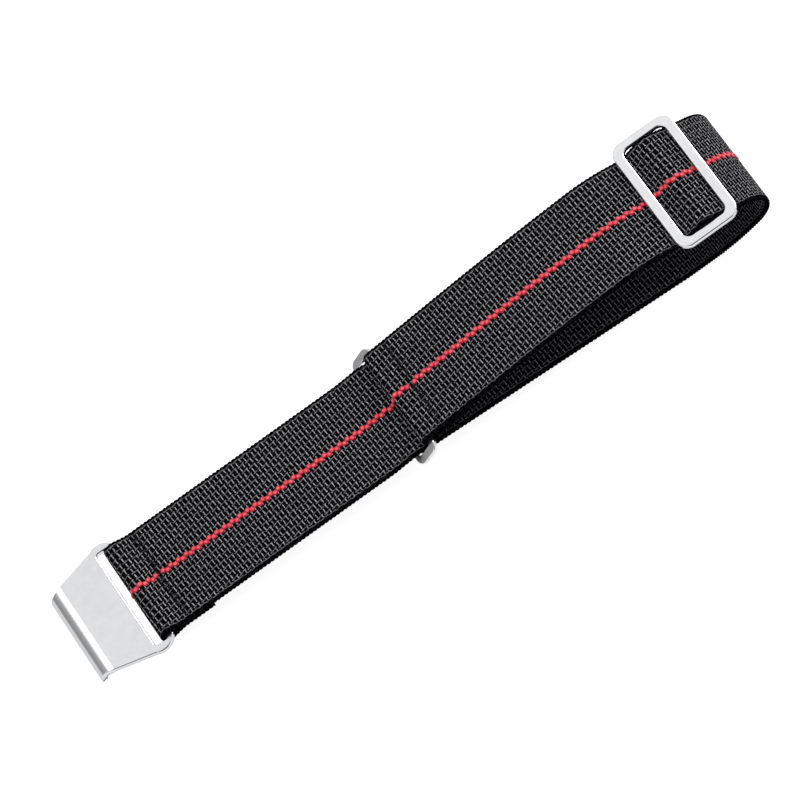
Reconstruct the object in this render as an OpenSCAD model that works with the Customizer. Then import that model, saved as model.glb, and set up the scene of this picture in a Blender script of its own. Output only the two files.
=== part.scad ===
// Elastic watch strap: one woven band with a hook clasp at one end, a keeper ring sewn on its
// folded tail, and an adjuster frame on the loop that the doubled band makes.
// Millimetres. +X runs from the hook to the loop's end, +Z is up, and the strap lies on z = 0.
// The origin is under the middle of the strap's length and width.

/* [Band] */
// Overall length of the strap as it lies, hook to loop
strap_l = 142.6; // [136:0.5:160]
// Width of the woven band
band_w = 20; // [18:0.5:22]
// Thickness of the woven band
band_t = 1; // [0.9:0.02:1.1]
// Width of the red stripe
stripe_w = 1.2; // [0.8:0.1:2.4]
// Depth of the red yarns in each face
stripe_d = 0.2; // [0.1:0.02:0.28]
// Width of the layer of rubber threads inside the band
core_w = 17; // [12:0.5:17]
// Thickness of the layer of rubber threads
core_t = 0.4; // [0.3:0.02:0.44]
// Rise of the single front run over the middle of the clasp plate
front_up = 0.5; // [0.3:0.05:0.6]

/* [Hook clasp] */
// Length of the clasp plate over its hook
clasp_l = 15.4; // [14:0.1:18]
// Thickness of the clasp plate
plate_t = 1.2; // [1:0.05:1.25]
// Width of the clasp at its bend
hook_w = 17.5; // [14:0.1:20]
// Height of the hook, outside
hook_h = 5.2; // [5:0.05:5.4]
// Length of the hook's lip, back under the plate
lip_l = 3.4; // [2.8:0.1:5]
// Width of the lip
lip_w = 15.4; // [12:0.1:17]
// Length of the gap that the band passes through
slot_gap = 2.6; // [2.5:0.05:3.2]
// Width of the bar that the band is folded round
slot_bar_w = 1.5; // [1.3:0.05:1.55]
// Metal beside the band at each end of the slot
cheek_w = 1.6; // [1.2:0.1:2.4]

/* [Keeper ring] */
// Distance from the clasp's bar to the ring's sewn bar
front_l = 56.2; // [50:0.2:60]
// Length of the ring along the strap
ring_l = 5.5; // [5.4:0.05:6]
// Thickness of the ring
ring_t = 0.7; // [0.6:0.05:0.8]
// Width of the ring's two long bars
ring_bar_w = 1; // [0.9:0.05:1.1]
// Rise of the ring's sewn bar over the front run
ring_up = 2.35; // [2.2:0.05:2.5]
// How much higher the band passes over the ring's free bar than under its sewn bar
ring_step = 0.57; // [0.5:0.01:0.7]

/* [Adjuster frame] */
// Distance from the loop's end to the middle of the frame
frame_back = 11.7; // [11.4:0.1:16]
// Length of the frame along the strap
frame_l = 12.4; // [12:0.1:13.4]
// Thickness of the frame
frame_t = 1.1; // [1:0.05:1.2]
// Width of the frame's two long bars
frame_bar_w = 1.85; // [1.6:0.05:1.9]
// Rise of the frame's underside over the loop's end
frame_up = 1.3; // [1.1:0.05:1.5]
// Width of the middle bar
mid_bar_w = 1.6; // [1.4:0.05:1.7]
// Thickness of the middle bar
mid_bar_t = 0.6; // [0.5:0.05:0.7]

/* [Loop] */
// Radius of the band's middle round the loop's end
nose_r = 4.8; // [4.5:0.1:5.1]
// Height of the middle of the loop's end
nose_z = 6.9; // [6.7:0.05:7.1]
// Length of the flat underside that the loop rests on
rest_l = 4; // [3:0.5:5]
// Distance from the loop's end to that flat
rest_back = 13.5; // [12:0.1:15]
// Slope of the upper run where it leaves the hump beside the frame
arch_lean = 4.6; // [4.2:0.1:5]
// Rise of the band's middle over the frame's underside, on the hump beside it
hump_up = 0.75; // [0.65:0.05:0.85]

/* [Seams] */
// Distance from the clasp's bar to its seam
clasp_seam_back = 4.2; // [4:0.1:6]
// Distance from the ring's sewn bar to its seam
ring_seam_back = 3.4; // [3.3:0.1:5]
// Length of the band's end past each seam
tail_l = 5; // [3.5:0.1:7]
// Half the width of the zigzag seam
zigzag = 0.5; // [0.3:0.05:0.6]
// Distance between needle holes across the band
stitch_pitch = 1.25; // [1:0.05:2]
// Thickness of the sewing thread
thread_d = 0.25; // [0.2:0.01:0.3]

/* [Hidden] */
$fn = 48;

// Clearances: band to metal, folded layers, and the slot beside the band
wrap_gap = 0.04;
layer_gap = 0.1;
side_gap = 0.4;
// Band left unsewn at each end of a seam
seam_margin = 1;
// How far a cut runs past the face that it opens, and how far joined shapes reach into each other
past = 1;
join = 0.01;

// Metal sizes that follow the band
slot_l = band_w + 2 * side_gap;
metal_w = slot_l + 2 * cheek_w;
frame_open = frame_l - 2 * frame_bar_w;

// Clasp: places along the strap
hook_x = -strap_l / 2;
clasp_end_x = hook_x + clasp_l;
bar_x = clasp_end_x - slot_bar_w / 2;
slot_x = clasp_end_x - slot_bar_w - slot_gap;
crease_drop = 0.1;
crease_a = 8;
hook_r = (hook_h - crease_drop) / 2;
crease_start = hook_r * (1 - sin(crease_a));
crease_l = (hook_h - hook_r * (1 + cos(crease_a))) / tan(crease_a);
crease_x = hook_x + crease_start + crease_l;
plate_z = hook_h - plate_t / 2;
front_z = plate_z + front_up;
corner_r = 3.1;
slot_corner_r = 0.5;

// Keeper ring: its sewn bar, and the bar that the front run lies on
sewn_x = bar_x + front_l;
ring_z = front_z + ring_up;
ring_span = ring_l - ring_bar_w;
ring_corner = norm([ring_bar_w / 2, ring_t / 2]);
ring_out_r = 1.6;
ring_in_r = 0.7;

// Adjuster frame
loop_x = strap_l / 2;
frame_x = loop_x - frame_back;
frame_z = nose_z + nose_r + band_t / 2 + frame_up;
side_x = frame_l / 2 - frame_bar_w / 2;
frame_out_r = 2.4;
frame_in_r = 1.4;

// The band's middle line runs between pins, straight from one to the next and round each one.
// A pin is [x, z, radius], and the radius is negative where the band turns clockwise.
half_t = band_t / 2;
fold_step = layer_gap + band_t;
wrap_r = norm([slot_bar_w / 2, plate_t / 2]) + wrap_gap + half_t;
sewn_r = ring_corner + wrap_gap + half_t;
pass_r = sewn_r + band_t + wrap_gap;
bend_r = 2;
crest_r = 2.2;

// Straight runs of the band between one bend and the next
ease_run = 1.8;
rise_run = 4;
lift_run = 0.5;
nose_run = 1.4;
hump_run = 2.4;
short_run = 0.5;
past_tail = 7.6;

function left_of(a) = [-sin(a), cos(a)];
function ahead(a) = [cos(a), sin(a)];
function heading(p, q) =
    let (d = [q[0] - p[0], q[1] - p[1]])
    atan2(d[1], d[0]) - asin((q[2] - p[2]) / norm(d));
function touch(p, a) = [p[0], p[1]] - p[2] * left_of(a);

// Pin of a turn that touches a point with a heading and lies a straight run away from pin p
function turn_pin(point, a, p, run) =
    let (
        d = point - [p[0], p[1]],
        r = (p[2] * p[2] + run * run - d * d) / (2 * (d * left_of(a) + p[2]))
    )
    concat(point + r * left_of(a), [r]);

// The ring tilts until the band fits between its bars
ring_drop = sewn_r + pass_r - ring_step;
ring_tilt = asin(ring_drop / ring_span);
under_pin = [sewn_x - ring_span * cos(ring_tilt), ring_z - ring_drop, -sewn_r];

// The front run is level between the clasp's fold and the rise to the ring
rise_back = 5.5;
seam_clear = zigzag + 2 * thread_d;
clasp_seam_x = bar_x + clasp_seam_back;
ease_x = clasp_seam_x - seam_clear;
clasp_pin = [bar_x, plate_z, -wrap_r];
rise_x = under_pin[0] - rise_back;

// The floor turns up to the loop's end, past the flat that it rests on
rest_end_x = loop_x - rest_back;
nose_pin = [loop_x - half_t - nose_r, nose_z, nose_r];
floor_pin = turn_pin([rest_end_x, half_t], 0, nose_pin, nose_run);

// How far a band of this bend must stay off a flat bar, so that it clears the bar's edges
function edge_lift(r, bar_w) = let (s = r - half_t) s - sqrt(s * s - bar_w * bar_w / 4) + wrap_gap;
dip_z = frame_z - edge_lift(bend_r, frame_bar_w) - half_t;
crest_z = frame_z + mid_bar_t + edge_lift(crest_r, mid_bar_w) + half_t;
crest_pin = [frame_x, crest_z - crest_r, crest_r];
exit_pin = [frame_x - side_x, dip_z + bend_r, -bend_r];

// Where the straight way from the loop's end to the crest passes under the frame's outer bar,
// the band follows it and only brushes the bar
entry_x = frame_x + side_x;
entry_a = heading(nose_pin, crest_pin);
entry_line = touch(crest_pin, entry_a);
entry_z = entry_line[1] + (entry_x - entry_line[0]) * tan(entry_a) - bend_r / cos(entry_a);
entry_pin = [entry_x, min(dip_z + bend_r, entry_z), -bend_r];

// The arch carries on from the hump past a short straight, and is straight again over the sewn tail
hump_past = 9.3;
hump_top = [frame_x - side_x - hump_past, frame_z + hump_up];
hump_pin = turn_pin(hump_top, 180, exit_pin, hump_run);
sewn_pin = [sewn_x, ring_z, sewn_r];
arch_a = 180 + arch_lean;
arch_start = touch(hump_pin, arch_a) + short_run * ahead(arch_a);
arch_pin = turn_pin(arch_start, arch_a, sewn_pin, ring_seam_back + tail_l + past_tail);

// The sewn tail lies under the upper run, in line with it
tail_a = heading(arch_pin, sewn_pin) - 180;
tail_up = left_of(tail_a);
tail_ahead = ahead(tail_a);
function under_tail(s) = [sewn_x, ring_z] + tail_up * (sewn_r - fold_step) + tail_ahead * s;

// The pins by number, in the order that the band meets them
fold_end = 0;
clasp_bar = 2;
clasp_ease = 3;
ring_pass = 6;
loop_nose = 9;
frame_exit = 12;
arch = 14;
pins = [
    [clasp_seam_x + tail_l, front_z - fold_step, 0],
    turn_pin([ease_x, front_z - fold_step], 180, clasp_pin, ease_run),
    clasp_pin,
    turn_pin([ease_x, front_z], 0, clasp_pin, ease_run),
    turn_pin([rise_x, front_z], 0, under_pin, rise_run),
    under_pin,
    [sewn_x, ring_z, pass_r],
    floor_pin - [rest_l, 0, 0],
    floor_pin,
    nose_pin,
    entry_pin,
    crest_pin,
    exit_pin,
    hump_pin,
    arch_pin,
    sewn_pin,
    turn_pin(under_tail(ring_seam_back - seam_clear), tail_a, sewn_pin, lift_run),
    concat(under_tail(ring_seam_back + tail_l), [0])
];
last_turn = len(pins) - 2;

// How far the band turns round pin i. A pin that it only brushes may turn it a little the other way.
brush_a = 30;
function turn_of(i) =
    let (
        a = heading(pins[i - 1], pins[i]),
        b = heading(pins[i], pins[i + 1]),
        m = ((b - a) % 360 + 360) % 360
    )
    pins[i][2] > 0 ? (m > 360 - brush_a ? m - 360 : m) : (m < brush_a ? m : m - 360);

// Arc round pin i as [point, heading], in steps no longer than these
step_a = 11;
step_l = 4;
function arc(i) =
    let (
        a = heading(pins[i - 1], pins[i]),
        turn = turn_of(i),
        long = abs(pins[i][2] * turn * PI / 180),
        n = max(1, ceil(abs(turn) / step_a), ceil(long / step_l))
    )
    [for (k = [0 : n]) let (h = a + turn * k / n) [touch(pins[i], h), h]];

// The point at x on the straight run from pin i to pin i + 1
function run_at(i, x) =
    let (h = heading(pins[i], pins[i + 1]), p = touch(pins[i], h))
    [p + (x - p[0]) / cos(h) * ahead(h), h];
function run_start(i) = let (h = heading(pins[i], pins[i + 1])) [touch(pins[i], h), h];
function run_end(i) = let (h = heading(pins[i], pins[i + 1])) [touch(pins[i + 1], h), h];
function route(from, i, j, to) = concat([from], [for (k = [i + 1 : 1 : j]) each arc(k)], [to]);

// Where one stretch of the band ends and the next begins, just off a bend or a sewn end
cut_off = 0.4;
clasp_cut = run_at(clasp_ease, clasp_seam_x + tail_l + cut_off);
ring_cut = run_at(clasp_ease, rise_x - cut_off);
lower_cut = run_at(ring_pass, sewn_x + ring_seam_back + tail_l + cut_off);
floor_cut = run_at(ring_pass, run_end(ring_pass)[0][0] - cut_off);
nose_cut = run_at(loop_nose, run_end(loop_nose)[0][0] + cut_off);
upper_cut = run_at(frame_exit, run_end(frame_exit)[0][0] + cut_off);
tail_cut = run_at(arch, sewn_x + ring_seam_back + tail_l + cut_off);

clasp_route = route(run_start(fold_end), fold_end, clasp_ease, clasp_cut);
front_route = [clasp_cut, ring_cut];
ring_route = route(ring_cut, clasp_ease, ring_pass, lower_cut);
lower_route = [lower_cut, floor_cut];
nose_route = route(floor_cut, ring_pass, loop_nose, nose_cut);
crossing_route = route(nose_cut, loop_nose, frame_exit, upper_cut);
upper_route = route(upper_cut, frame_exit, arch, tail_cut);
tail_route = route(tail_cut, arch, last_turn, run_end(last_turn));
lower_inner_route = route(clasp_cut, clasp_ease, ring_pass, floor_cut);
upper_inner_route = route(upper_cut, frame_exit, last_turn, run_end(last_turn));

web_color = [0.07, 0.07, 0.08];
red_color = [0.8, 0.08, 0.1];
core_color = [0.85, 0.8, 0.68];
thread_color = [0.03, 0.03, 0.03];
steel_color = [0.8, 0.8, 0.82];

// A layer of the band from one height off its middle to another, along a route
module layer(points, wide, low, high) {
    below = [for (p = points) p[0] + low * left_of(p[1])];
    above = [for (k = [len(points) - 1 : -1 : 0]) points[k][0] + high * left_of(points[k][1])];
    rotate([90, 0, 0])
        linear_extrude(height = wide, center = true)
            polygon(concat(below, above));
}

// The red yarns in both faces. Drawn as a cut, they stand over the face that they open.
module stripe_layers(points, over = 0) {
    layer(points, stripe_w, half_t - stripe_d, half_t + over);
    layer(points, stripe_w, -half_t - over, stripe_d - half_t);
}

module core_layer(points) {
    layer(points, core_w, -core_t / 2, core_t / 2);
}

// A route drawn out past both its ends, for a cut that opens them
function moved_on(at, by) = [at[0] + by * ahead(at[1]), at[1]];
function drawn_out(points) =
    let (last = len(points) - 1)
    [for (k = [0 : last]) moved_on(points[k], k == 0 ? -past : (k == last ? past : 0))];

// Woven nylon of one stretch, with room for the rubber inside and the red yarns in both faces
module webbing(points) {
    room = drawn_out(points);
    difference() {
        layer(points, band_w, -half_t, half_t);
        core_layer(room);
        stripe_layers(room, join);
    }
}

// Needle holes lie on a zigzag across the band
stitches = 2 * floor((band_w / 2 - seam_margin) / stitch_pitch);
function hole_at(k) = [(k % 2 == 0 ? -1 : 1) * zigzag, (k - stitches / 2) * stitch_pitch];

// Threads through both layers of a seam. Its own frame has the upper layer's outer face at z = 0.
seam_depth = band_t + fold_step;
module needle_threads(over = 0) {
    for (k = [0 : stitches])
        translate([hole_at(k)[0], hole_at(k)[1], -seam_depth / 2])
            cube([thread_d, thread_d, seam_depth + 2 * over], center = true);
}

module zigzag_thread() {
    for (k = [0 : stitches - 1]) {
        p = hole_at(k);
        q = hole_at(k + 1);
        translate([(p[0] + q[0]) / 2, (p[1] + q[1]) / 2, 0])
            rotate([0, 0, atan2(q[1] - p[1], q[0] - p[0])])
                cube([norm(q - p) + thread_d, thread_d, thread_d], center = true);
    }
}

module seam_thread() {
    needle_threads();
    translate([0, 0, thread_d / 2])
        zigzag_thread();
    translate([0, 0, -seam_depth - thread_d / 2])
        zigzag_thread();
}

module at_clasp_seam() {
    translate([clasp_seam_x, 0, front_z + half_t])
        children();
}

module at_ring_seam() {
    top = [sewn_x, ring_z] + tail_up * (sewn_r + half_t) + tail_ahead * ring_seam_back;
    translate([top[0], 0, top[1]])
        rotate([0, -tail_a, 0])
            children();
}

module pierced_at_clasp() {
    difference() {
        children();
        at_clasp_seam()
            needle_threads(past);
    }
}

module pierced_at_ring() {
    difference() {
        children();
        at_ring_seam()
            needle_threads(past);
    }
}

module rounded(size, r) {
    square([size[0] - 2 * r, size[1]], center = true);
    square([size[0], size[1] - 2 * r], center = true);
    for (x = [-1, 1], y = [-1, 1])
        translate([x * (size[0] / 2 - r), y * (size[1] / 2 - r)])
            circle(r = r);
}

// Points round the clasp's bend at a depth under its outer face, from one heading to another
bend_steps = 30;
function bend_line(depth, from, to) = [
    for (k = [0 : bend_steps])
        touch([hook_x + hook_r, hook_r, depth - hook_r], from + (to - from) * k / bend_steps)
];

// Side view of the clasp: the lip, the bend, a slight crease and the flat plate
module clasp_side() {
    crease_in = plate_t * tan(crease_a / 2);
    polygon(concat(
        [[hook_x + lip_l, plate_t], [hook_x + lip_l, 0]],
        bend_line(0, 180, crease_a),
        [[crease_x, hook_h], [clasp_end_x, hook_h], [clasp_end_x, hook_h - plate_t]],
        [[crease_x + crease_in, hook_h - plate_t]],
        bend_line(plate_t, crease_a, 180)
    ));
}

// Plan of the clasp: widest at the slot, tapering to the bend, with round corners at the bar
wide_x = clasp_end_x - corner_r;
module clasp_plan() {
    polygon([
        [hook_x, -hook_w / 2], [wide_x, -metal_w / 2], [wide_x, metal_w / 2], [hook_x, hook_w / 2]
    ]);
    translate([wide_x - join, -metal_w / 2 + corner_r])
        square([corner_r + join, metal_w - 2 * corner_r]);
    for (y = [-1, 1])
        translate([wide_x, y * (metal_w / 2 - corner_r)])
            circle(r = corner_r);
}

// Front view of the clasp: the lower half of the bend narrows to the lip
module clasp_front() {
    bend_w = hook_w + (metal_w - hook_w) * plate_t / (wide_x - hook_x);
    polygon([
        [-lip_w / 2, -past], [-lip_w / 2, plate_t], [-bend_w / 2, hook_r],
        [-metal_w, hook_r], [-metal_w, hook_h + past], [metal_w, hook_h + past], [metal_w, hook_r],
        [bend_w / 2, hook_r], [lip_w / 2, plate_t], [lip_w / 2, -past]
    ]);
}

module hook_clasp() {
    color(steel_color)
        difference() {
            intersection() {
                rotate([90, 0, 0])
                    linear_extrude(height = metal_w + past, center = true)
                        clasp_side();
                translate([0, 0, -past])
                    linear_extrude(height = hook_h + 2 * past)
                        clasp_plan();
                translate([hook_x - past, 0, 0])
                    rotate([90, 0, 90])
                        linear_extrude(height = clasp_l + 2 * past)
                            clasp_front();
            }
            translate([slot_x + slot_gap / 2, 0, hook_h - plate_t - past])
                linear_extrude(height = plate_t + 2 * past)
                    rounded([slot_gap, slot_l], slot_corner_r);
        }
}

module keeper_ring() {
    color(steel_color)
        translate([sewn_x, 0, ring_z])
            rotate([0, -ring_tilt, 0])
                translate([-ring_span / 2, 0, 0])
                    linear_extrude(height = ring_t, center = true)
                        difference() {
                            rounded([ring_l, metal_w], ring_out_r);
                            rounded([ring_l - 2 * ring_bar_w, slot_l], ring_in_r);
                        }
}

module adjuster_frame() {
    color(steel_color)
        translate([frame_x, 0, frame_z]) {
            linear_extrude(height = frame_t)
                difference() {
                    rounded([frame_l, metal_w], frame_out_r);
                    rounded([frame_open, slot_l], frame_in_r);
                }
            linear_extrude(height = mid_bar_t)
                square([mid_bar_w, slot_l + cheek_w], center = true);
        }
}

module band_clasp_end() {
    color(web_color)
        pierced_at_clasp()
            webbing(clasp_route);
}

module band_front_run() {
    color(web_color)
        webbing(front_route);
}

module band_ring_pass() {
    color(web_color)
        webbing(ring_route);
}

module band_lower_run() {
    color(web_color)
        webbing(lower_route);
}

module band_loop_end() {
    color(web_color)
        webbing(nose_route);
}

module band_frame_pass() {
    color(web_color)
        webbing(crossing_route);
}

module band_upper_run() {
    color(web_color)
        webbing(upper_route);
}

module band_tail_end() {
    color(web_color)
        pierced_at_ring()
            webbing(tail_route);
}

module stripe_clasp_end() {
    color(red_color)
        pierced_at_clasp()
            stripe_layers(clasp_route);
}

module stripe_front() {
    color(red_color) {
        stripe_layers(front_route);
        stripe_layers(ring_route);
        stripe_layers(lower_route);
    }
}

module stripe_loop_end() {
    color(red_color)
        stripe_layers(nose_route);
}

module stripe_frame_pass() {
    color(red_color)
        stripe_layers(crossing_route);
}

module stripe_upper() {
    color(red_color)
        pierced_at_ring()
            stripe_layers(upper_inner_route);
}

module core_clasp_end() {
    color(core_color)
        pierced_at_clasp()
            core_layer(clasp_route);
}

module core_front() {
    color(core_color)
        core_layer(lower_inner_route);
}

module core_loop_end() {
    color(core_color)
        core_layer(nose_route);
}

module core_frame_pass() {
    color(core_color)
        core_layer(crossing_route);
}

module core_upper() {
    color(core_color)
        pierced_at_ring()
            core_layer(upper_inner_route);
}

module clasp_seam() {
    color(thread_color)
        at_clasp_seam()
            seam_thread();
}

module ring_seam() {
    color(thread_color)
        at_ring_seam()
            seam_thread();
}

hook_clasp();
keeper_ring();
adjuster_frame();
band_clasp_end();
band_front_run();
band_ring_pass();
band_lower_run();
band_loop_end();
band_frame_pass();
band_upper_run();
band_tail_end();
stripe_clasp_end();
stripe_front();
stripe_loop_end();
stripe_frame_pass();
stripe_upper();
core_clasp_end();
core_front();
core_loop_end();
core_frame_pass();
core_upper();
clasp_seam();
ring_seam();
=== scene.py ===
"""Elastic woven watch strap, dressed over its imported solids.

The band is woven pick by pick along one route, with red yarns down its middle, rubber threads
inside and two sewn folds. The hook clasp, keeper ring and adjuster frame are pressed steel.
Route sizes are in millimetres, and meshes are in metres in the frame of the solids.
"""

import logging
import math
from dataclasses import dataclass, field
from enum import Enum
from typing import Callable, Sequence

import bmesh
import bpy
import numpy as np
from mathutils import Matrix, Vector


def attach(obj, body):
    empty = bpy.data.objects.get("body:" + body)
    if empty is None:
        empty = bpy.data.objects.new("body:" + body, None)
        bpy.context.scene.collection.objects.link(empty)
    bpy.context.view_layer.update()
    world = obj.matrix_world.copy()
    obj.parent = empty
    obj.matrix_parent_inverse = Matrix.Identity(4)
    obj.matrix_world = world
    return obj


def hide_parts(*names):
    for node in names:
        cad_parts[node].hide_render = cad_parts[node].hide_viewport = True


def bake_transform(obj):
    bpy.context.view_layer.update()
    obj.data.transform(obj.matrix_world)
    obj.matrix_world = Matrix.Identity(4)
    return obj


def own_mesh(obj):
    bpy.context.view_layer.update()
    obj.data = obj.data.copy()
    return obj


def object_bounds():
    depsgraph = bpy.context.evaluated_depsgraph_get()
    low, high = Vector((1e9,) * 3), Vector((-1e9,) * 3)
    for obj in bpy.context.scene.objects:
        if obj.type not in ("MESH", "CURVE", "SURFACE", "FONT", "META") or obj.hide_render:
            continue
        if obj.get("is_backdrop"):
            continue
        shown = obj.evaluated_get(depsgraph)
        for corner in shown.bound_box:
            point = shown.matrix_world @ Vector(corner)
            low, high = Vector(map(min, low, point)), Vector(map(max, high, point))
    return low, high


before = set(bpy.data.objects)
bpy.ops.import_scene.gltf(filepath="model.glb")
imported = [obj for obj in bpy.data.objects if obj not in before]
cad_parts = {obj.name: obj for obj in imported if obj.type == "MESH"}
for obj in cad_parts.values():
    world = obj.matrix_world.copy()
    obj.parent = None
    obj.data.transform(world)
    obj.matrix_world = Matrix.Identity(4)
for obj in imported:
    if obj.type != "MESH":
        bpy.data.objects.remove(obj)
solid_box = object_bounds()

log = logging.getLogger("strap")

MM = 0.001
Socket = bpy.types.NodeSocket
Value = float | Socket
Colour = tuple[float, float, float, float]
Fade = tuple[float, float, float, float]
Maker = Callable[[str, float, float, bpy.types.Material], bpy.types.Object]


# Route of the band


@dataclass(frozen=True)
class Pin:
    """A round that the band's middle line turns about; the radius is negative for clockwise."""

    x: float
    z: float
    radius: float

    @property
    def centre(self) -> np.ndarray:
        """Middle of the round."""
        return np.array([self.x, self.z])

    def touch(self, heading: float) -> np.ndarray:
        """Point where the band leaves or meets the round with a heading in radians."""
        return self.centre - self.radius * left_of(heading)

    def moved(self, dx: float) -> "Pin":
        """The same round, further along the strap."""
        return Pin(self.x + dx, self.z, self.radius)


def left_of(heading: float) -> np.ndarray:
    """Unit vector to the left of a heading."""
    return np.array([-math.sin(heading), math.cos(heading)])


def ahead(heading: float) -> np.ndarray:
    """Unit vector along a heading."""
    return np.array([math.cos(heading), math.sin(heading)])


def heading_between(p: Pin, q: Pin) -> float:
    """Heading of the straight run from one pin to the next."""
    d = q.centre - p.centre
    return math.atan2(d[1], d[0]) - math.asin((q.radius - p.radius) / np.linalg.norm(d))


def turn_pin(point: Sequence[float], heading: float, pin: Pin, run: float) -> Pin:
    """Pin of a turn that touches a point with a heading and lies a straight run away from a pin.

    Args:
        point: Where the turn starts or ends.
        heading: Heading of the band there, in radians.
        pin: The neighbouring pin.
        run: Length of the straight between the two.

    Returns:
        The turn's own pin.
    """
    start = np.array(point, float)
    d = start - pin.centre
    radius = (pin.radius**2 + run * run - d @ d) / (2 * (d @ left_of(heading) + pin.radius))
    centre = start + radius * left_of(heading)
    return Pin(centre[0], centre[1], radius)


@dataclass
class BandRoute:
    """The line of the band's middle from its folded end at the clasp to its sewn tail.

    The band runs straight between pins and round each of them, like a belt. The lengths are the
    named ones of the solids, and a name in _a is an angle.
    """

    strap_l: float = 142.6
    band_t: float = 1.0
    clasp_l: float = 15.4
    plate_t: float = 1.2
    hook_h: float = 5.2
    slot_bar_w: float = 1.5
    front_up: float = 0.5
    front_l: float = 56.2
    ring_l: float = 5.5
    ring_t: float = 0.7
    ring_bar_w: float = 1.0
    ring_up: float = 2.35
    ring_step: float = 0.57
    frame_back: float = 11.7
    frame_l: float = 12.4
    frame_bar_w: float = 1.85
    frame_up: float = 1.3
    mid_bar_w: float = 1.6
    mid_bar_t: float = 0.6
    nose_r: float = 4.8
    nose_z: float = 6.9
    rest_l: float = 4.0
    rest_back: float = 13.5
    arch_lean: float = 4.6
    hump_up: float = 0.75
    hump_past: float = 9.3
    clasp_seam_back: float = 4.2
    ring_seam_back: float = 3.4
    tail_l: float = 5.0
    wrap_gap: float = 0.04
    layer_gap: float = 0.1
    seam_clear: float = 1.0
    bend_r: float = 2.0
    crest_r: float = 2.2
    rise_back: float = 5.5
    ease_run: float = 1.8
    rise_run: float = 4.0
    lift_run: float = 0.5
    nose_run: float = 1.4
    hump_run: float = 2.4
    short_run: float = 0.5
    past_tail: float = 7.6
    cut_off: float = 0.4
    brush_a: float = math.radians(30)
    samples: int = 4000
    runs: list[tuple[float, np.ndarray, float]] = field(default_factory=list)

    def __post_init__(self) -> None:
        """Sets the pins out and measures the route along them."""
        self.half_t = self.band_t / 2
        self.fold_step = self.layer_gap + self.band_t
        self.bar_x = -self.strap_l / 2 + self.clasp_l - self.slot_bar_w / 2
        self.sewn_x = self.bar_x + self.front_l
        self.clasp_seam_x = self.bar_x + self.clasp_seam_back
        self.plate_z = self.hook_h - self.plate_t / 2
        self.front_z = self.plate_z + self.front_up
        self.ring_z = self.front_z + self.ring_up
        self.sewn_r = self._wrap_r(self.ring_bar_w, self.ring_t)
        named = self._front_pins() | self._loop_pins()
        named |= self._frame_pins(named["nose"])
        named |= self._tail_pins(named["hump"])
        self.pins = list(named.values())
        self.number = {name: i for i, name in enumerate(named)}
        self._measure()
        self._mark_cuts()

    def _edge_lift(self, bend: float, bar_w: float) -> float:
        """How far a bent band stays off a flat bar so that it clears the bar's edges."""
        inner = bend - self.half_t
        return inner - math.sqrt(inner * inner - bar_w * bar_w / 4) + self.wrap_gap

    def _wrap_r(self, bar_w: float, bar_t: float) -> float:
        """Radius of the band's middle round a flat bar."""
        return math.hypot(bar_w / 2, bar_t / 2) + self.wrap_gap + self.half_t

    def _front_pins(self) -> dict[str, Pin]:
        """Pins from the folded end, round the clasp's bar and through the keeper ring."""
        fold_z = self.front_z - self.fold_step
        ease_x = self.clasp_seam_x - self.seam_clear
        clasp = Pin(self.bar_x, self.plate_z, -self._wrap_r(self.slot_bar_w, self.plate_t))
        pass_r = self.sewn_r + self.band_t + self.wrap_gap
        ring_span = self.ring_l - self.ring_bar_w
        ring_drop = self.sewn_r + pass_r - self.ring_step
        under_x = self.sewn_x - ring_span * math.cos(math.asin(ring_drop / ring_span))
        under = Pin(under_x, self.ring_z - ring_drop, -self.sewn_r)
        self.rise_x = under_x - self.rise_back
        return {
            "folded_end": Pin(self.clasp_seam_x + self.tail_l, fold_z, 0.0),
            "fold_ease": turn_pin((ease_x, fold_z), math.pi, clasp, self.ease_run),
            "clasp": clasp,
            "front": turn_pin((ease_x, self.front_z), 0.0, clasp, self.ease_run),
            "rise": turn_pin((self.rise_x, self.front_z), 0.0, under, self.rise_run),
            "under": under,
            "over": Pin(self.sewn_x, self.ring_z, pass_r),
        }

    def _loop_pins(self) -> dict[str, Pin]:
        """Pins where the band comes down to lie flat, lifts off and turns round the loop's end."""
        loop_x = self.strap_l / 2
        nose = Pin(loop_x - self.half_t - self.nose_r, self.nose_z, self.nose_r)
        floor = turn_pin((loop_x - self.rest_back, self.half_t), 0.0, nose, self.nose_run)
        return {"rest": floor.moved(-self.rest_l), "floor": floor, "nose": nose}

    def _frame_pins(self, nose: Pin) -> dict[str, Pin]:
        """Pins at the adjuster frame's three bars, and the hump beyond it."""
        x = self.strap_l / 2 - self.frame_back
        z = self.nose_z + self.nose_r + self.half_t + self.frame_up
        side_x = self.frame_l / 2 - self.frame_bar_w / 2
        dip_z = z - self._edge_lift(self.bend_r, self.frame_bar_w) - self.half_t
        crest_z = z + self.mid_bar_t + self._edge_lift(self.crest_r, self.mid_bar_w) + self.half_t
        crest = Pin(x, crest_z - self.crest_r, self.crest_r)
        leaving = Pin(x - side_x, dip_z + self.bend_r, -self.bend_r)
        entry_x = x + side_x
        entry_a = heading_between(nose, crest)
        line = crest.touch(entry_a)
        brushed = line[1] + (entry_x - line[0]) * math.tan(entry_a) - self.bend_r / math.cos(entry_a)
        entry = Pin(entry_x, min(dip_z + self.bend_r, brushed), -self.bend_r)
        hump_top = (x - side_x - self.hump_past, z + self.hump_up)
        hump = turn_pin(hump_top, math.pi, leaving, self.hump_run)
        return {"entry": entry, "crest": crest, "leaving": leaving, "hump": hump}

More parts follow.
